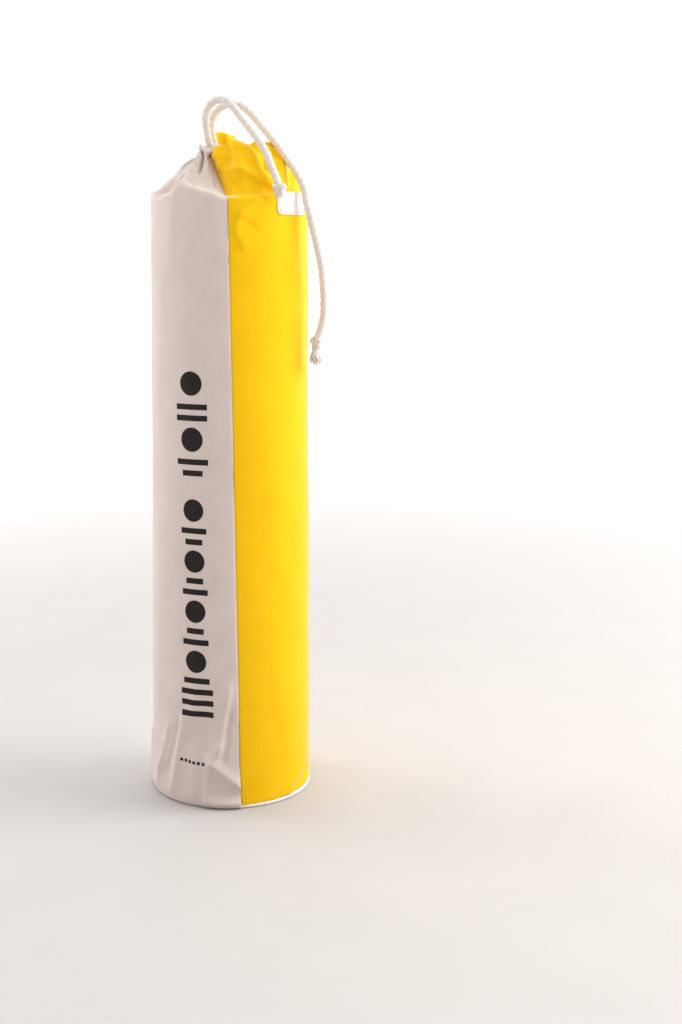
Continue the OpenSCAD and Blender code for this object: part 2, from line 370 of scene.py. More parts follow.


# ---------------- the cloth

# Folds drawn on the flat cloth: angle and height where each starts and ends, its width on
# its left and on its right as one climbs it, and how far it stands out (or in), all but the angles
# in mm.
WHITE_FOLDS = np.array([
    (264, 128, 256.5, 66, 9, 2.4, 3.6),  # long pull beside the front seam
    (256.5, 66, 252.5, 50, 6, 3.5, 3.2),
    (247, 112, 245, 64, 10, 6, -1.3),  # hollow left of it
    (263.5, 100, 259, 56, 3, 3, -1.8),
    (249, 50, 268.5, 24, 2.2, 7, 4.6),  # upper edge of the three-cornered dent
    (248, 46, 246, 10, 4.5, 2.2, 3),  # its left edge
    (252, 29, 264, 20, 8, 8, -1.7),  # the dent
    (251, 7, 269, 6, 6, 4, 4.2),  # cloth rolled out under the dent
    (223, 84, 212, 34, 3, 4.5, -1.6),  # slanting crease at the left
    (228, 92, 217, 18, 3, 6, 3), (214, 80, 203, 36, 6, 3, 1.8), (238, 62, 236, 18, 7, 7, 1.6),
    (205, 40, 196, 16, 6, 6, 2), (238, 120, 232, 84, 4, 7, 1), (244, 200, 240, 150, 8, 12, 0.8),
    (258, 330, 254, 240, 7, 14, 0.7), (204, 300, 200, 120, 10, 14, 0.9),
    (212, 560, 206, 420, 12, 9, 0.8), (258, 652, 262, 600, 8, 10, 1),
    (226, 650, 222, 610, 8, 10, 0.9), (180, 60, 172, 10, 6, 8, 2.2), (160, 90, 166, 30, 5, 8, 1.6),
    (140, 70, 150, 20, 6, 5, 2.2), (118, 60, 108, 14, 6, 8, 2.2), (150, 640, 158, 560, 10, 8, 1),
    (120, 650, 112, 590, 8, 10, 1),
])
YELLOW_FOLDS = np.array([
    (-72, 655, -82, 640, 2.6, 9, 1.7),  # jagged edge of the shaded corner under the rim
    (-82, 640, -86, 622, 2.6, 9, 1.6), (-86, 622, -81, 606, 2.6, 9, 1.4),
    (-81, 606, -88, 594, 2.6, 8, 1.1),
    (-80, 632, -73, 626, 2.4, 2.4, -1.2),  # small crease beside it
    (-50, 6, -30, 27, 9, 9, 1),  # fold over the dent at the lower right
    (-40, 10, -25, 21, 7, 6, -2.4), (-60, 140, -52, 60, 9, 14, 0.9),
    (-66, 420, -60, 260, 10, 16, 0.7), (-40, 610, -36, 480, 9, 14, 0.8), (8, 80, 2, 22, 6, 8, 2.2),
    (44, 60, 52, 16, 6, 8, 2.2), (72, 70, 66, 10, 6, 8, 2), (20, 650, 12, 590, 8, 10, 1),
    (60, 652, 64, 600, 8, 10, 1),
])
# Folds above the rim, given the same way. Their heights are those of the cloth's outer face.
WHITE_CROWN = np.array([
    (269.9, 676, 269.9, 712, 4, 4, -3),  # the crevice where the two halves meet
    (232, 678, 239, 712, 3.5, 8, 4),  # the big pleat's left edge, up to the neck
    (196, 668, 222, 672, 6, 6, -6),  # the hollow left of it
    (243, 690, 246.5, 718, 2.4, 2.4, -6),  # dark crevices at the neck
    (236, 694, 231, 716, 2.4, 2.4, -3.5), (253, 684, 254, 716, 4, 4, 2.6),
    (262, 676, 262, 706, 2.6, 2.6, -2.4), (205, 682, 220, 708, 4, 4, 2.4),
    (176, 668, 186, 704, 4, 6, -2.5), (150, 664, 168, 700, 5, 7, 3), (128, 666, 146, 696, 5, 5, -3),
    (108, 664, 122, 694, 5, 7, 2.8),
])
YELLOW_CROWN = np.array([
    (-89.9, 676, -89.9, 712, 2.5, 2.5, -3),
    (-74, 682, -56, 669, 2.2, 12, 4.6),  # folded edge below the lit facet
    (-77, 686, -69, 712, 2.6, 14, 5),  # and the edge on its left
    (-86, 668, -84, 698, 4, 4, 2), (-55, 690, -50, 716, 4, 4, -3.4),
    (-44, 672, -36, 700, 5, 9, 3.4), (-28, 664, -20, 704, 5, 5, -3.4), (-6, 666, 2, 704, 5, 8, 3.4),
    (16, 664, 12, 700, 5, 5, -3.4), (36, 668, 30, 700, 6, 8, 3), (58, 664, 52, 698, 5, 5, -3.4),
    (76, 666, 70, 700, 5, 8, 3),
])
# Angles of the valleys between the pleats at the mouth, from one seam round to the other.
WHITE_VALLEYS = np.array([90, 104, 120, 137, 155, 172, 188, 205, 222, 244, 270.0])
YELLOW_VALLEYS = np.array([-90, -56, -41, -22, 0, 20, 38, 55, 72, 90.0])
# Height of the cloth's top edge against the angle round the mouth.
TOP_EDGE = np.array([
    (-135, 699), (-126, 704), (-112, 713), (-96, 719), (-84, 716), (-73, 722), (-60, 720), (-44, 716),
    (-20, 713), (0, 711), (30, 714), (60, 717), (84, 716), (91, 724), (98, 732), (112, 737), (126, 736),
    (136, 719), (150, 714), (166, 713), (180, 709), (192, 708), (203, 710), (212, 713), (225, 704)])
# Room pushed outwards at the mouth against the angle round it: the yellow cloth billows at the front,
# and the white cloth stands clear of the ropes.
MOUTH_ROOM = np.array([
    (-135, 8), (-118, 14), (-98, 18), (-78, 18), (-58, 13), (-38, 7), (-18, 2), (0, 0), (60, 0),
    (135, 0), (160, -2), (178, -4), (190, -2), (204, 4), (214, 7), (225, 8)])
# How full the cloth billows between the rim and the mouth, against the angle round the bag: 1 is
# straight.
FULLNESS = np.array([
    (-90, 0.65), (-83, 1.1), (-74, 1.8), (-55, 2.4), (-25, 2.2), (0, 1.9), (50, 1.6), (90, 1.4),
    (140, 1.15), (180, 1.0), (214, 0.95), (240, 1.0), (258, 0.85), (270, 0.65)])
# How far the cloth steps in over the roll's end just inside the rim, against the angle, in mm.
RIM_STEP = np.array([
    (-90, 5), (-60, 7), (0, 6), (90, 5), (140, 4), (165, 2), (190, 2), (204, 5), (220, 7),
    (250, 7), (270, 5)])
# How far the rim stands above its usual height, against the angle round the bag, in mm.
RIM_RISE = np.array([
    (-90, -3), (-60, -1), (0, 0), (90, 0), (130, 3), (160, 3), (184, 5), (198, 0), (210, -3), (224, 3),
    (232, 13), (243, 8), (256, 3), (270, -3)])


def seam_lean(z):
    """Degrees that the cloth is turned at height z: 3.3 at the base, evenly down to -4.5 at the rim."""
    return 3.3 - 7.8 * np.clip(z / RIM_Z, 0, 1.0)


def fold_height(a, v, folds):
    """Sum of the listed folds at angle a and height v.

    Each is a ridge whose height falls as exp(-(d / w)^2) with the distance d from its line, where w is
    its width on that side, and which fades over the last 8 mm of its length.
    """
    a0, v0, a1, v1, left, right, rise = folds.T
    x0, x1 = np.radians(a0) * BAG_R, np.radians(a1) * BAG_R
    x = np.radians(a)[..., None] * BAG_R
    dx, dy = x1 - x0, v1 - v0
    length = np.hypot(dx, dy)
    along = ((x - x0) * dx + (v[..., None] - v0) * dy) / length
    side = ((x - x0) * dy - (v[..., None] - v0) * dx) / length
    beyond = np.maximum(np.maximum(-along, along - length), 0)
    width = np.where(side * np.sign(dy) > 0, right, left)
    return (rise * np.exp(-(side / width) ** 2 - (beyond / 8) ** 2)).sum(-1)


def waves(a, v, seed, height, shortest, longest, count=14):
    """Sum of sine waves of seeded direction, length and phase across the flat cloth."""
    rng = np.random.default_rng(seed)
    heading = rng.uniform(0, np.pi, count)
    size = 2 * np.pi / rng.uniform(shortest, longest, count)
    phase = rng.uniform(0, 2 * np.pi, count)
    x = np.radians(a)[..., None] * BAG_R
    run = x * np.cos(heading) + v[..., None] * np.sin(heading)
    return height * np.sin(size * run + phase).mean(-1)


def eased(x, table):
    """Value at x between the rows of a table: from one row to the next as half of 1 - cos(pi s)."""
    i = np.clip(np.searchsorted(table[:, 0], x, side="right") - 1, 0, len(table) - 2)
    s = np.clip((x - table[i, 0]) / (table[i + 1, 0] - table[i, 0]), 0, 1)
    return table[i, 1] + (table[i + 1, 1] - table[i, 1]) * (0.5 - 0.5 * np.cos(np.pi * s))


def body_point(a, z, white, lift=0.0):
    """Point of the cloth round the roll at angle a and height z, lift mm off its surface.

    The radius is the bag's, plus slack of 0.2 mm at the rim and 1 mm at the base, the listed
    folds, low waves, and a groove 0.35 mm deep and 1.2 mm wide along both seams.
    """
    folds, seed = (WHITE_FOLDS, 4) if white else (YELLOW_FOLDS, 9)
    from_seam = np.radians(90 - np.abs(a - (180 if white else 0))) * BAG_R
    r = (BAG_R + 0.8 * (1 - z / RIM_Z) ** 2 + 0.2 + fold_height(a, z, folds)
         + waves(a, z, seed, 1.4, 70, 260) + waves(a, z, seed + 1, 0.45, 18, 50)
         - 0.35 * np.exp(-(from_seam / 1.2) ** 2))
    # the corner at the rim and the one at the base are rounded
    r = r - 2.5 * np.exp(-np.maximum(RIM_Z - z, 0) / 1.6) - (2.2 if white else 0.8) * np.exp(-z / 3.0)
    turn = np.radians(a + seam_lean(z))
    height = z + eased(a, RIM_RISE) * np.clip((z - 580) / (RIM_Z - 580), 0, 1) ** 2
    return polar(r + lift, turn, height)


def mouth_angle(a):
    """Angle round the mouth of the cloth from angle a round the bag: the white half takes up a
    quarter of the mouth and the yellow half the rest."""
    return np.where(a > 90, 180 + (a - 180) / 2, 1.5 * a)


def mouth_point(a, size, out):
    """Point of an ellipse size times the mouth's, pushed out square to it by out mm."""
    b = np.radians(mouth_angle(a))
    normal = unit(np.stack([np.cos(b) / MOUTH_A, np.sin(b) / MOUTH_B], -1))
    centre = np.stack([MOUTH_X + size * MOUTH_A * np.cos(b), size * MOUTH_B * np.sin(b)], -1)
    return centre + normal * np.asarray(out)[..., None]


def pleat(a, valleys):
    """From 0 in a valley between two pleats to the pleat's width in mm on its crown, as a half sine."""
    i = np.clip(np.searchsorted(valleys, a, side="right") - 1, 0, len(valleys) - 2)
    width = valleys[i + 1] - valleys[i]
    share = np.clip((a - valleys[i]) / width, 0, 1)
    return np.sin(np.pi * share) ** 0.8 * np.radians(width) * BAG_R


def top_edge(a, crown):
    """Height of the cloth's top edge: its table, and a little more on the crown of each pleat."""
    return eased(mouth_angle(a), TOP_EDGE) + 0.05 * (crown - 20)


def crown_point(a, q, white):
    """Point of the cloth above the rim. q goes 1..2 up the outer face and 2..3 down inside the mouth.

    Just inside the rim the cloth steps in by 2 to 7 mm, over the roll's end. Then its plan goes
    from the rim's circle to the mouth's ellipse as a power of the way up, the fullness at that
    angle. Behind, the drawcord's pinch draws it in by up to 6 mm at its own height.
    """
    crown = pleat(a, WHITE_VALLEYS if white else YELLOW_VALLEYS)
    b = mouth_angle(a)
    out = 0.30 * (crown - 14) * (0.45 if white else 0.60)
    room = eased(b, MOUTH_ROOM)
    top = top_edge(a, crown)

    t = np.clip(q - 1, 0, 1)
    rim_z = RIM_Z + eased(a, RIM_RISE)
    inset = eased(a, RIM_STEP) * (1 - np.exp(-t / 0.02))
    z = rim_z + (top - rim_z) * t - 0.25 * inset * (1 - t) ** 6
    f = t ** eased(a, FULLNESS)
    turn = np.radians(a + seam_lean(RIM_Z) * (1 - f))
    rim = (BAG_R - 2.5 - inset)[..., None] * np.stack([np.cos(turn), np.sin(turn)], -1)
    behind = np.clip(np.sin(np.radians(b)) * 1.4 + 0.5, 0, 1)
    pinch = 6.0 * behind * np.exp(-((z - 702) / 5.0) ** 2)
    outer = rim * (1 - f)[..., None] \
        + mouth_point(a, 1 + 0.05 * t ** 4, out * t ** 1.3 + room - pinch) * f[..., None]

    w = np.clip(q - 2, 0, 1)
    edge = mouth_point(a, 1.05, out + room)
    wall = mouth_point(a, 0.94, 0.9 * out + room - 3.0)
    middle = np.stack([MOUTH_X + 0 * a, 0 * a], -1)
    down = np.clip(w / 0.4, 0, 1)
    inward = np.clip((w - 0.4) / 0.6, 0, 1)
    inside = (edge * (1 - down)[..., None] + wall * down[..., None]) * (1 - inward)[..., None] \
        + middle * inward[..., None]
    # the cloth at the bottom of the mouth is bunched up round the two ropes
    bunch = 10 * np.exp(-((inside[..., 0] + 19) ** 2 + (inside[..., 1] + 7) ** 2) / 9.5 ** 2)
    floor_z = 707 + bunch + 0.16 * (crown - 10) * (1 - inward) ** 0.7
    inside_z = top + (floor_z - top) * np.sin(down * np.pi / 2)

    plan = np.where((q <= 2)[..., None], outer, inside)
    return np.concatenate([plan, np.where(q <= 2, z, inside_z)[..., None]], -1)


def soften(points, first, last, passes):
    """Rounds a grid's rows from first to last: each pass gives a row half of itself and a quarter of
    each neighbour."""
    for _ in range(passes):
        points[first:last] = 0.5 * points[first:last] + 0.25 * (points[first - 1:last - 1]
                                                                + points[first + 1:last + 1])
    return points


def normals(points):
    """Unit normals of a grid, outwards where columns run anticlockwise and rows run up."""
    return unit(np.cross(np.gradient(points, axis=1), np.gradient(points, axis=0)))


def cloth_grid(white):
    """Grid of one half of the bag, from its lower edge up over the rim to the middle of the mouth."""
    a = np.linspace(90.03, 269.97, 138) if white else np.linspace(-89.97, 89.97, 138)
    z = np.concatenate([np.linspace(0.9 if white else 2.4, 130, 52), np.linspace(130, 590, 90)[1:],
                        np.linspace(590, RIM_Z, 32)[1:]])
    q = np.concatenate([np.linspace(1, 1.1, 8)[1:], np.linspace(1.1, 2, 42)[1:],
                        np.linspace(2, 3, 22)[1:]])
    body = body_point(*np.meshgrid(a, z), white)
    if not white:
        # the yellow cloth's lower edge climbs the piping away from the front seam
        body[..., 2] += 3.0 * np.clip((a + 88) / 40, 0, 1) * np.exp(-z / 10)[:, None]
    rows_a, rows_q = np.meshgrid(a, q)
    points = np.concatenate([body, crown_point(rows_a, rows_q, white)])
    # the first row above the rim, and the first one inside the mouth
    rim, edge = len(z), len(z) + int((q <= 2).sum())
    points = soften(points, rim - 2, rim + 2, 1)
    points = soften(points, edge - 2, edge + 5, 2)
    # height up the cloth: the outer face's own height, then on down inside
    v = np.concatenate([np.broadcast_to(z[:, None], (len(z), len(a))),
                        np.where(rows_q <= 2, points[rim:, :, 2], EDGE_V + TURNED_IN * (rows_q - 2))])
    grid_a = np.broadcast_to(a, v.shape)
    above = np.clip((v - RIM_Z) / 30, 0, 1) * np.where(np.arange(len(v)) >= rim, 1, 0)[:, None]
    outside = ((np.arange(len(v)) >= rim) & (np.arange(len(v)) <= edge))[:, None]
    hand = fold_height(grid_a, v, WHITE_CROWN if white else YELLOW_CROWN) * outside
    crumple = above * (waves(grid_a, v, 31 + white, 4.2, 14, 46, 18)
                       + waves(grid_a, v, 51 + white, 2.4, 7, 18, 18))
    seam = np.radians(90 - np.abs(grid_a - (180 if white else 0))) * BAG_R
    points = points + normals(points) * ((hand + crumple) * (1 - np.exp(-(seam / 5) ** 2)))[..., None]
    points = soften(points, rim + 1, len(v) - 1, 1)
    uv = np.stack([np.radians(grid_a) * BAG_R, v], -1)
    return points, uv


# ---------------- settings

class RopeSettings(bpy.types.PropertyGroup):
    """Sizes and colour of the cotton rope."""
    diameter: FloatProperty(name="Diameter", description="Diameter of the cotton rope", default=0.008,
                            min=0.006, max=0.009, unit="LENGTH")
    lay: FloatProperty(name="Lay length", description="Length in which a strand turns once",
                       default=0.024, min=0.015, max=0.04, unit="LENGTH")
    colour: FloatVectorProperty(name="Colour", description="Colour of the cotton", size=4,
                                subtype="COLOR", min=0, max=1, default=linear("#efe7df"))


class ClothSettings(bpy.types.PropertyGroup):
    """Thickness and colours of the canvas."""
    thickness: FloatProperty(name="Thickness", description="Thickness of the canvas", default=0.0012,
                             min=0.0008, max=0.0014, unit="LENGTH")
    natural: FloatVectorProperty(name="Natural", description="Colour of the undyed canvas", size=4,
                                 subtype="COLOR", min=0, max=1, default=linear("#dacbc4"))
    yellow: FloatVectorProperty(name="Yellow", description="Colour of the dyed canvas", size=4,
                                subtype="COLOR", min=0, max=1, default=linear("#f8c600"))


class StageSettings(bpy.types.PropertyGroup):
    """Strength of the studio's lights."""
    key: FloatProperty(name="Key", description="Power of the softbox on the right", default=28.0,
                       min=0, unit="POWER")
    front: FloatProperty(name="Front sky", description="Brightness of the studio in front",
                         default=0.63, min=0)
    back: FloatProperty(name="Back sky", description="Brightness of the studio behind", default=1.4,
                        min=0)


def ride_as(piece, body, slot, *nodes):
    """Puts a piece on its body and hides the CAD nodes it stands for. slot, its finish slot, is not
    used.
    """
    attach(piece, body)
    if nodes:
        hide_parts(*nodes)
    return piece


def rope_material():
    """The rope's material, made once."""
    settings = bpy.context.scene.bag_rope
    light = tuple(settings.colour)
    return bpy.data.materials.get("Laid cotton rope") or laid_cotton_rope(
        "Laid cotton rope", darker(light, 0.82), light, settings.lay / MM, settings.diameter / MM)


def canvas_material(white):
    """The canvas's material, made once for each colour."""
    settings = bpy.context.scene.bag_cloth
    if white:
        light = tuple(settings.natural)
        return bpy.data.materials.get("Natural cotton canvas") or woven_canvas(
            "Natural cotton canvas", darker(light, 0.9), light, linear("#a8978c"))
    light = tuple(settings.yellow)
    shade = (0.96 * light[0], 0.9 * light[1], 0.0, 1.0)
    return bpy.data.materials.get("Dyed yellow canvas") or woven_canvas(
        "Dyed yellow canvas", shade, light, linear("#e6ae00"), sheen=1.0, bloom=0.25)


def bleached_canvas():
    """The trimmings' material, made once: the same canvas, bleached."""
    return bpy.data.materials.get("Bleached cotton canvas") or woven_canvas(
        "Bleached cotton canvas", linear("#e9e2dd"), linear("#f5f1ee"), linear("#d9cfc6"))


# ---------------- operators

class BAG_OT_stage(bpy.types.Operator):
    """Sets up the camera, the pale floor and the soft studio light"""
    bl_idname = "bag.stage"
    bl_label = "Studio"

    def execute(self, context):
        settings = context.scene.bag_stage
        scene = context.scene
        scene.view_settings.view_transform = "Standard"
        data = bpy.data.cameras.new("Camera")
        # most of the look down is a shift, so that the bag's sides stay upright
        data.lens, data.sensor_width, data.shift_y = 49.91, 36.0, -0.188
        camera = bpy.data.objects.new("Camera", data)
        camera.location = (-0.0851, -1.5896, 0.5957)
        forward = Vector((0.13109, 0.99137, -math.tan(math.radians(2.634)))).normalized()
        camera.rotation_euler = forward.to_track_quat("-Z", "Y").to_euler()
        scene.collection.objects.link(camera)
        scene.camera = camera

        turn = np.linspace(0, 2 * np.pi, 97)
        reach = np.array([0, 300, 1200, 60000.0])
        disc = polar(reach[:, None], -turn, 0.0)
        floor = make_piece("studio_floor", [disc], studio_floor("Matt white emulsion"))

        def softbox(name, location, size, power, colour):
            """An area light that faces the middle of the bag."""
            lamp = bpy.data.lights.new(name, "AREA")
            lamp.shape, lamp.size, lamp.size_y = "RECTANGLE", *size
            lamp.energy, lamp.color = power, colour
            box = bpy.data.objects.new(name, lamp)
            box.location = location
            toward_bag = Vector((0, 0, 0.45)) - Vector(location)
            box.rotation_euler = toward_bag.to_track_quat("-Z", "Y").to_euler()
            scene.collection.objects.link(box)

        softbox("Softbox right", (1.52, -0.2, 1.25), (1.2, 1.3), settings.key, (1.0, 0.985, 0.96))
        softbox("Softbox left", (-1.6, 0.9, 1.2), (0.9, 1.6), settings.key * 0.45, (0.98, 0.98, 1.0))

        world = bpy.data.worlds.new("Studio")
        scene.world = world
        world.use_nodes = True
        tree = world.node_tree
        tree.nodes.clear()
        toward = add_node(tree, "ShaderNodeTexCoord").outputs["Generated"]
        axes = add_node(tree, "ShaderNodeSeparateXYZ", {"Vector": toward})
        level = add_node(tree, "ShaderNodeMapRange", {"Value": axes.outputs["Y"], "From Min": -0.6,
                         "From Max": 0.7, "To Min": settings.front, "To Max": settings.back})
        # a brighter ceiling than walls, so that cloth facing up and cloth facing down differ
        overhead = add_node(tree, "ShaderNodeMapRange", {"Value": axes.outputs["Z"], "From Min": 0.0,
                            "From Max": 0.9, "To Min": 0.82, "To Max": 1.45})
        strength = add_node(tree, "ShaderNodeMath", {0: level.outputs[0], 1: overhead.outputs[0]},
                            operation="MULTIPLY")
        sky = add_node(tree, "ShaderNodeBackground", {"Color": (1, 0.985, 0.98, 1),
                       "Strength": strength.outputs[0]})
        # what is seen behind the bag is a plain white backdrop, from whatever side
        backdrop = add_node(tree, "ShaderNodeBackground", {"Color": (1, 1, 1, 1), "Strength": 1.1})
        seen = add_node(tree, "ShaderNodeLightPath").outputs["Is Camera Ray"]
        studio = add_node(tree, "ShaderNodeMixShader", {
            0: seen, 1: sky.outputs[0], 2: backdrop.outputs[0]})
        add_node(tree, "ShaderNodeOutputWorld", {"Surface": studio.outputs[0]})
        return {"FINISHED"}


class BAG_OT_ropes(bpy.types.Operator):
    """Lays the carry rope and the tail along their routes, out of the neck"""
    bl_idname = "bag.ropes"
    bl_label = "Ropes"

    def execute(self, context):
        settings = context.scene.bag_rope
        diameter, lay = settings.diameter / MM, settings.lay / MM
        material = rope_material()
        cords = (("carry_cord", "carry", CARRY_ROUTE, "loose", ["carry_overhand"]),
                 ("tail_cord", "tail", TAIL_ROUTE, "hanging", ["tail_overhand", "frayed_tassel"]))
        for name, body, route, hang, pieces in cords:
            path, along = spline(route, 0.8)
            grid, uv = twisted_rope(path, along, diameter, lay)
            piece = make_piece(name, [grid], material, [uv])
            ride_as(piece, body, "cotton_rope", body + "_rope")
        return {"FINISHED"}


def knot_grid(centre, size, rope):
    """A pulled-tight overhand knot: a trefoil curve, sin t + 2 sin 2t across, cos t - 2 cos 2t up and
    1.5 sin 3t through, times size, in a thinner tube because the knot squeezes the rope."""
    t = np.linspace(-0.35, 2 * np.pi - 0.85, 150)
    curve = np.stack([size * (np.sin(t) + 2 * np.sin(2 * t)), 1.5 * size * np.sin(3 * t),
                      size * (np.cos(t) - 2 * np.cos(2 * t))], -1)
    path = curve + np.asarray(centre)
    along = np.concatenate([[0], np.cumsum(np.linalg.norm(np.diff(path, axis=0), axis=1))])
    return twisted_rope(path, along, rope, KNOT_LAY, 18, away_from=np.asarray(centre, float))


class BAG_OT_knots(bpy.types.Operator):
    """Ties the two knots: the carry rope's at the tab and the tail's above its tassel"""
    bl_idname = "bag.knots"
    bl_label = "Knots"

    def execute(self, context):
        material = rope_material()
        for name, body, centre, size, rope in (("carry_overhand", "carry", CARRY_ROUTE[-1], 1.85, 5.8),
                                               ("tail_overhand", "tail", TAIL_KNOT_AT, 1.65, 5.4)):
            grid, uv = knot_grid(centre, size, rope)
            piece = make_piece(name, [grid], material, [uv], outward=True)
            ride_as(piece, body, "cotton_rope", body + "_knot")
        return {"FINISHED"}


class BAG_OT_tassel(bpy.types.Operator):
    """Frays the end of the tail into loose yarns"""
    bl_idname = "bag.tassel"
    bl_label = "Tassel"

    def execute(self, context):
        rng = np.random.default_rng(12)
        count, rings, sides = 84, 12, 5
        # each yarn leaves the waist at its own place and fans out as the power 1.6 of the way down
        heading = rng.uniform(0, 2 * np.pi, count)
        spread = np.sqrt(rng.uniform(0, 1, count))
        length = rng.uniform(13, 21, count)
        s = np.linspace(0, 1, rings)[None, :]
        reach = (2.2 + 5.6 * s ** 1.6) * spread[:, None]
        curl = heading[:, None] + rng.uniform(-0.5, 0.5, count)[:, None] * s \
            + 0.25 * np.sin(6 * s + rng.uniform(0, 6, count)[:, None])
        x = TASSEL_AT[0] + reach * np.cos(curl) + 1.2 * s
        y = TASSEL_AT[1] + reach * np.sin(curl)
        z = TASSEL_AT[2] + 2.5 - length[:, None] * (s - 0.10 * spread[:, None] * s ** 3)
        paths = np.stack([x, y, z], -1)
        thickness = 0.75 * (1 - 0.6 * s[0, :, None] ** 2)
        # the lower end of each yarn stays open
        yarns = [tube(path, thickness, sides)[:-1] for path in paths]
        piece = make_piece("frayed_tassel", yarns, rope_material(), outward=True)
        ride_as(piece, "tail", "cotton_rope", "tail_tassel")
        return {"FINISHED"}


class BAG_OT_cloth(bpy.types.Operator):
    """Makes the white and the yellow half, each one sheet from the base to inside the mouth"""
    bl_idname = "bag.cloth"
    bl_label = "Canvas halves"

    def execute(self, context):
        settings = context.scene.bag_cloth
        for name, white in (("white", True), ("yellow", False)):
            points, uv = cloth_grid(white)
            piece = make_piece(name + "_cloth", [points], canvas_material(white), [uv], weld=False)
            solid = piece.modifiers.new("Thickness", "SOLIDIFY")
            solid.thickness, solid.offset = settings.thickness, -1
            ride_as(piece, "bag", name + "_canvas", name + "_panel", name + "_gather", name + "_casing")
        return {"FINISHED"}


def print_grids():
    """Grids of the printed column: solid bars, discs and half discs, one above the other.

    A shape is a rectangle of across by up mm, or a disc worked out as a square grid drawn in to a
    circle: a point (x, y) of the square goes to (x sqrt(1 - y^2/2), y sqrt(1 - x^2/2)).
    """
    # height of its middle, width across, height up: what is taller than a bar's 6 mm is a disc
    shapes = [(458, 26, 26), (433, 37, 6), (421, 37, 6), (398, 26, 26), (374, 37, 6), (362, 24, 6),
              (322, 24, 24), (300, 30, 6), (288, 20, 6), (267, 24, 24), (246, 20, 6), (234, 30, 6),
              (213, 24, 24), (192, 20, 6), (180, 30, 6), (159, 24, 24), (138, 30, 6), (126, 37, 6),
              (114, 37, 6), (102, 37, 6)]
    # and a row of dashes below, each with its number in the row
    shapes += [(50.0 - 0.4 * k, 3.2, 3.2, k) for k in range(6)]
    grids, uvs = [], []
    side = np.linspace(-1, 1, 25)
    for z, across, up, *place in shapes:
        x, y = np.meshgrid(side, side)
        if up > 6:
            x, y = x * np.sqrt(1 - y ** 2 / 2), y * np.sqrt(1 - x ** 2 / 2)
        middle = np.radians(PRINT_ANGLE) * BAG_R + (place[0] * 5.2 - 20 if place else 0)
        arc = middle + x * across / 2
        height = z + y * up / 2
        grids.append(body_point(np.degrees(arc / BAG_R), height, True, 0.16))
        uvs.append(np.stack([arc, height], -1))
    return grids, uvs


class BAG_OT_print(bpy.types.Operator):
    """Prints a plain column of bars and discs on the white half"""
    bl_idname = "bag.print"
    bl_label = "Print"

    def execute(self, context):
        grids, uvs = print_grids()
        ink = screen_ink("Cured screen ink", linear("#16100f"))
        piece = make_piece("canvas_print", grids, ink, uvs)
        ride_as(piece, "bag", "white_canvas")
        return {"FINISHED"}


def tab_outline(x, y, half, height, corner=7):
    """Moves the points of a rectangle inside rounded lower corners: where a point is depth nearer the
    bottom than the corner's radius, it comes in by radius - sqrt(radius^2 - depth^2)."""
    depth = np.clip(corner - (y + height / 2), 0, corner)
    inset = corner - np.sqrt(np.maximum(corner ** 2 - depth ** 2, 0))
    return x * (half - inset) / half, y


class BAG_OT_tab(bpy.types.Operator):
    """Sews the canvas tab on the outside at the rim"""
    bl_idname = "bag.tab"
    bl_label = "Tab"

    def execute(self, context):
        half, height = 25.0, 25.0
        middle_z = (TAB_BOX[0].z + TAB_BOX[1].z) / 2 / MM
        middle = math.radians(TAB_ANGLE) * BAG_R

        def on_bag(x, y, lift):
            """Point of the tab's face: x across and y up from its middle, bent round the bag."""
            return polar(TAB_R + lift, (middle + x) / BAG_R, middle_z + y)

        x, y = np.meshgrid(np.linspace(-half, half, 61), np.linspace(-height / 2, height / 2, 31))
        x, y = tab_outline(x, y, half, height)
        edge = np.minimum(half - np.abs(x), height / 2 - np.abs(y))
        lift = 0.35 * np.sin(0.35 * x + 0.2 * y) - 0.5 * np.exp(-np.maximum(edge, 0) / 0.9) \
            - 0.45 * np.exp(-((edge - 3) / 0.7) ** 2)
        uv = np.stack([x + middle, y + middle_z], -1)
        piece = make_piece("canvas_tab", [on_bag(x, y, lift)], bleached_canvas(), [uv], weld=False)
        solid = piece.modifiers.new("Thickness", "SOLIDIFY")
        solid.thickness, solid.offset = 0.0014, -1
        ride_as(piece, "bag", "white_canvas", "cord_tab")

        # stitches run 3 mm inside the two sides and the lower edge
        margin, stitch = 3.0, 2.2
        left = [(-half + margin, height / 2 - 1), (-half + margin, -height / 2 + 8),
                (-half + margin + 1.4, -height / 2 + margin + 1.8), (-half + 8, -height / 2 + margin)]
        corners = left + [(-px, py) for px, py in reversed(left)]
        line, along = spline([(px, py, 0) for px, py in corners], 0.5)
        starts = np.arange(0.5, along[-1] - stitch, 3.0)
        s = np.linspace(0, 1, 7)
        at = starts[:, None] + stitch * s
        px, py = np.interp(at, along, line[:, 0]), np.interp(at, along, line[:, 1])
        rise = 0.35 * np.sin(np.pi * s) - 0.1
        paths = on_bag(px, py, np.broadcast_to(rise, px.shape))
        stitches = [tube(path, 0.38, 6, away_from=(0, 0, middle_z)) for path in paths]
        thread = make_piece("tab_stitches", stitches,
                            spun_thread("Spun sewing thread", linear("#f4efe9")), outward=True)
        ride_as(thread, "bag", "thread", "tab_stitching")
        return {"FINISHED"}


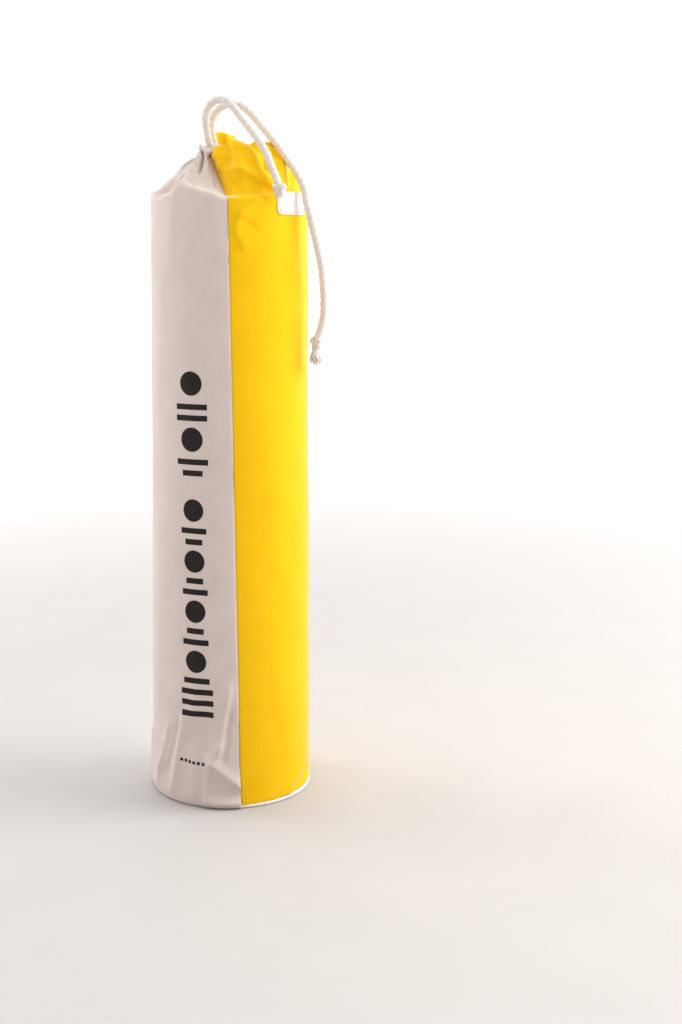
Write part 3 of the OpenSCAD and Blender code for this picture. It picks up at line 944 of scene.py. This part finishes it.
class BAG_OT_base(bpy.types.Operator):
    """Makes the round canvas base with its piped edge"""
    bl_idname = "bag.base"
    bl_label = "Base"

    def execute(self, context):
        turn = np.linspace(0, 2 * np.pi, 193)
        side = np.linspace(0, 2 * np.pi, 17)
        # the piping: canvas over a cord, puckered where it was sewn round;
        # it shows below the yellow half and is tucked under the white one
        middle = 85.0 + 1.5 / (1 + np.exp(-12 * np.cos(turn + np.radians(seam_lean(0)) * 0.5)))
        pucker = 2.0 + 0.10 * np.sin(turn * 53) + 0.06 * np.sin(turn * 31 + 1)
        r = middle[:, None] + pucker[:, None] * np.cos(side)
        z = 2.2 + np.clip(pucker, 0, 2.15)[:, None] * np.sin(side)
        ring = polar(r, turn[:, None], z)
        uv = np.stack(np.broadcast_arrays(turn[:, None] * 85, side[None, :] * 2), -1)
        piping = make_piece("piped_edge", [ring], bleached_canvas(), [uv], outward=True)
        ride_as(piping, "bag", "white_canvas", "base_piping")

        # the disc: two layers of canvas, slightly crumpled under the roll, flat where it stands
        out = np.concatenate([[0.01], np.linspace(4, 82.4, 30)])
        reach = np.concatenate([out, [82.6, 82.6], out[::-1]])
        level = np.concatenate([np.zeros(31), [0.4, 1.6], np.full(31, 2.0)])
        dip = np.where(level > 1.8, 0.25, 0)[:, None]
        disc_r = reach[:, None] + 0 * turn[None, :]
        disc_z = level[:, None] - dip * (0.5 + 0.5 * np.sin(disc_r * 0.16 + 3 * np.cos(2 * turn)))
        disc = polar(disc_r, turn, disc_z)
        piece = make_piece("canvas_base", [disc], canvas_material(True), [disc[..., :2]], outward=True)
        ride_as(piece, "bag", "white_canvas", "base_disc")
        return {"FINISHED"}


class BAG_OT_inside(bpy.types.Operator):
    """Gives the rolled mat, the bound seams and the drawcord's loop their finishes"""
    bl_idname = "bag.inside"
    bl_label = "Inside pieces"

    def execute(self, context):
        tape = binding_tape("Herringbone cotton tape", linear("#e3dbd2"), linear("#f1ebe4"))
        foam = closed_cell_foam("Closed-cell foam", linear("#45355c"), linear("#5a4874"))
        cotton = rope_material()
        for node, material in (("mat_roll", foam), ("front_seam", tape), ("back_seam", tape),
                               ("drawcord_loop", cotton)):
            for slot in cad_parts[node].material_slots:
                slot.material = material
        return {"FINISHED"}


class BAG_PT_panel(bpy.types.Panel):
    """Lists the bag's settings and its operators"""
    bl_idname = "BAG_PT_panel"
    bl_label = "Mat Bag"
    bl_space_type = "VIEW_3D"
    bl_region_type = "UI"
    bl_category = "Mat Bag"

    def draw(self, context):
        layout = self.layout
        for group in (context.scene.bag_rope, context.scene.bag_cloth, context.scene.bag_stage):
            box = layout.box()
            for name in type(group).__annotations__:
                box.prop(group, name)
        for operator in OPERATORS:
            layout.operator(operator.bl_idname)


OPERATORS = (BAG_OT_stage, BAG_OT_knots, BAG_OT_tassel, BAG_OT_ropes, BAG_OT_cloth, BAG_OT_print,
             BAG_OT_tab, BAG_OT_base, BAG_OT_inside)
GROUPS = {"bag_rope": RopeSettings, "bag_cloth": ClothSettings, "bag_stage": StageSettings}


def register():
    """Registers the settings, the operators and the panel."""
    for name, group in GROUPS.items():
        bpy.utils.register_class(group)
        setattr(bpy.types.Scene, name, PointerProperty(type=group))
    for kind in (*OPERATORS, BAG_PT_panel):
        bpy.utils.register_class(kind)


def unregister():
    """Takes the panel, the operators and the settings away again."""
    for kind in (BAG_PT_panel, *reversed(OPERATORS)):
        bpy.utils.unregister_class(kind)
    for name, group in reversed(GROUPS.items()):
        delattr(bpy.types.Scene, name)
        bpy.utils.unregister_class(group)


def main():
    """Makes the studio, the knots, tassel and ropes, then the other pieces."""
    register()
    for operator in OPERATORS:
        group, name = operator.bl_idname.split(".")
        getattr(getattr(bpy.ops, group), name)()


if __name__ == "__main__":
    main()
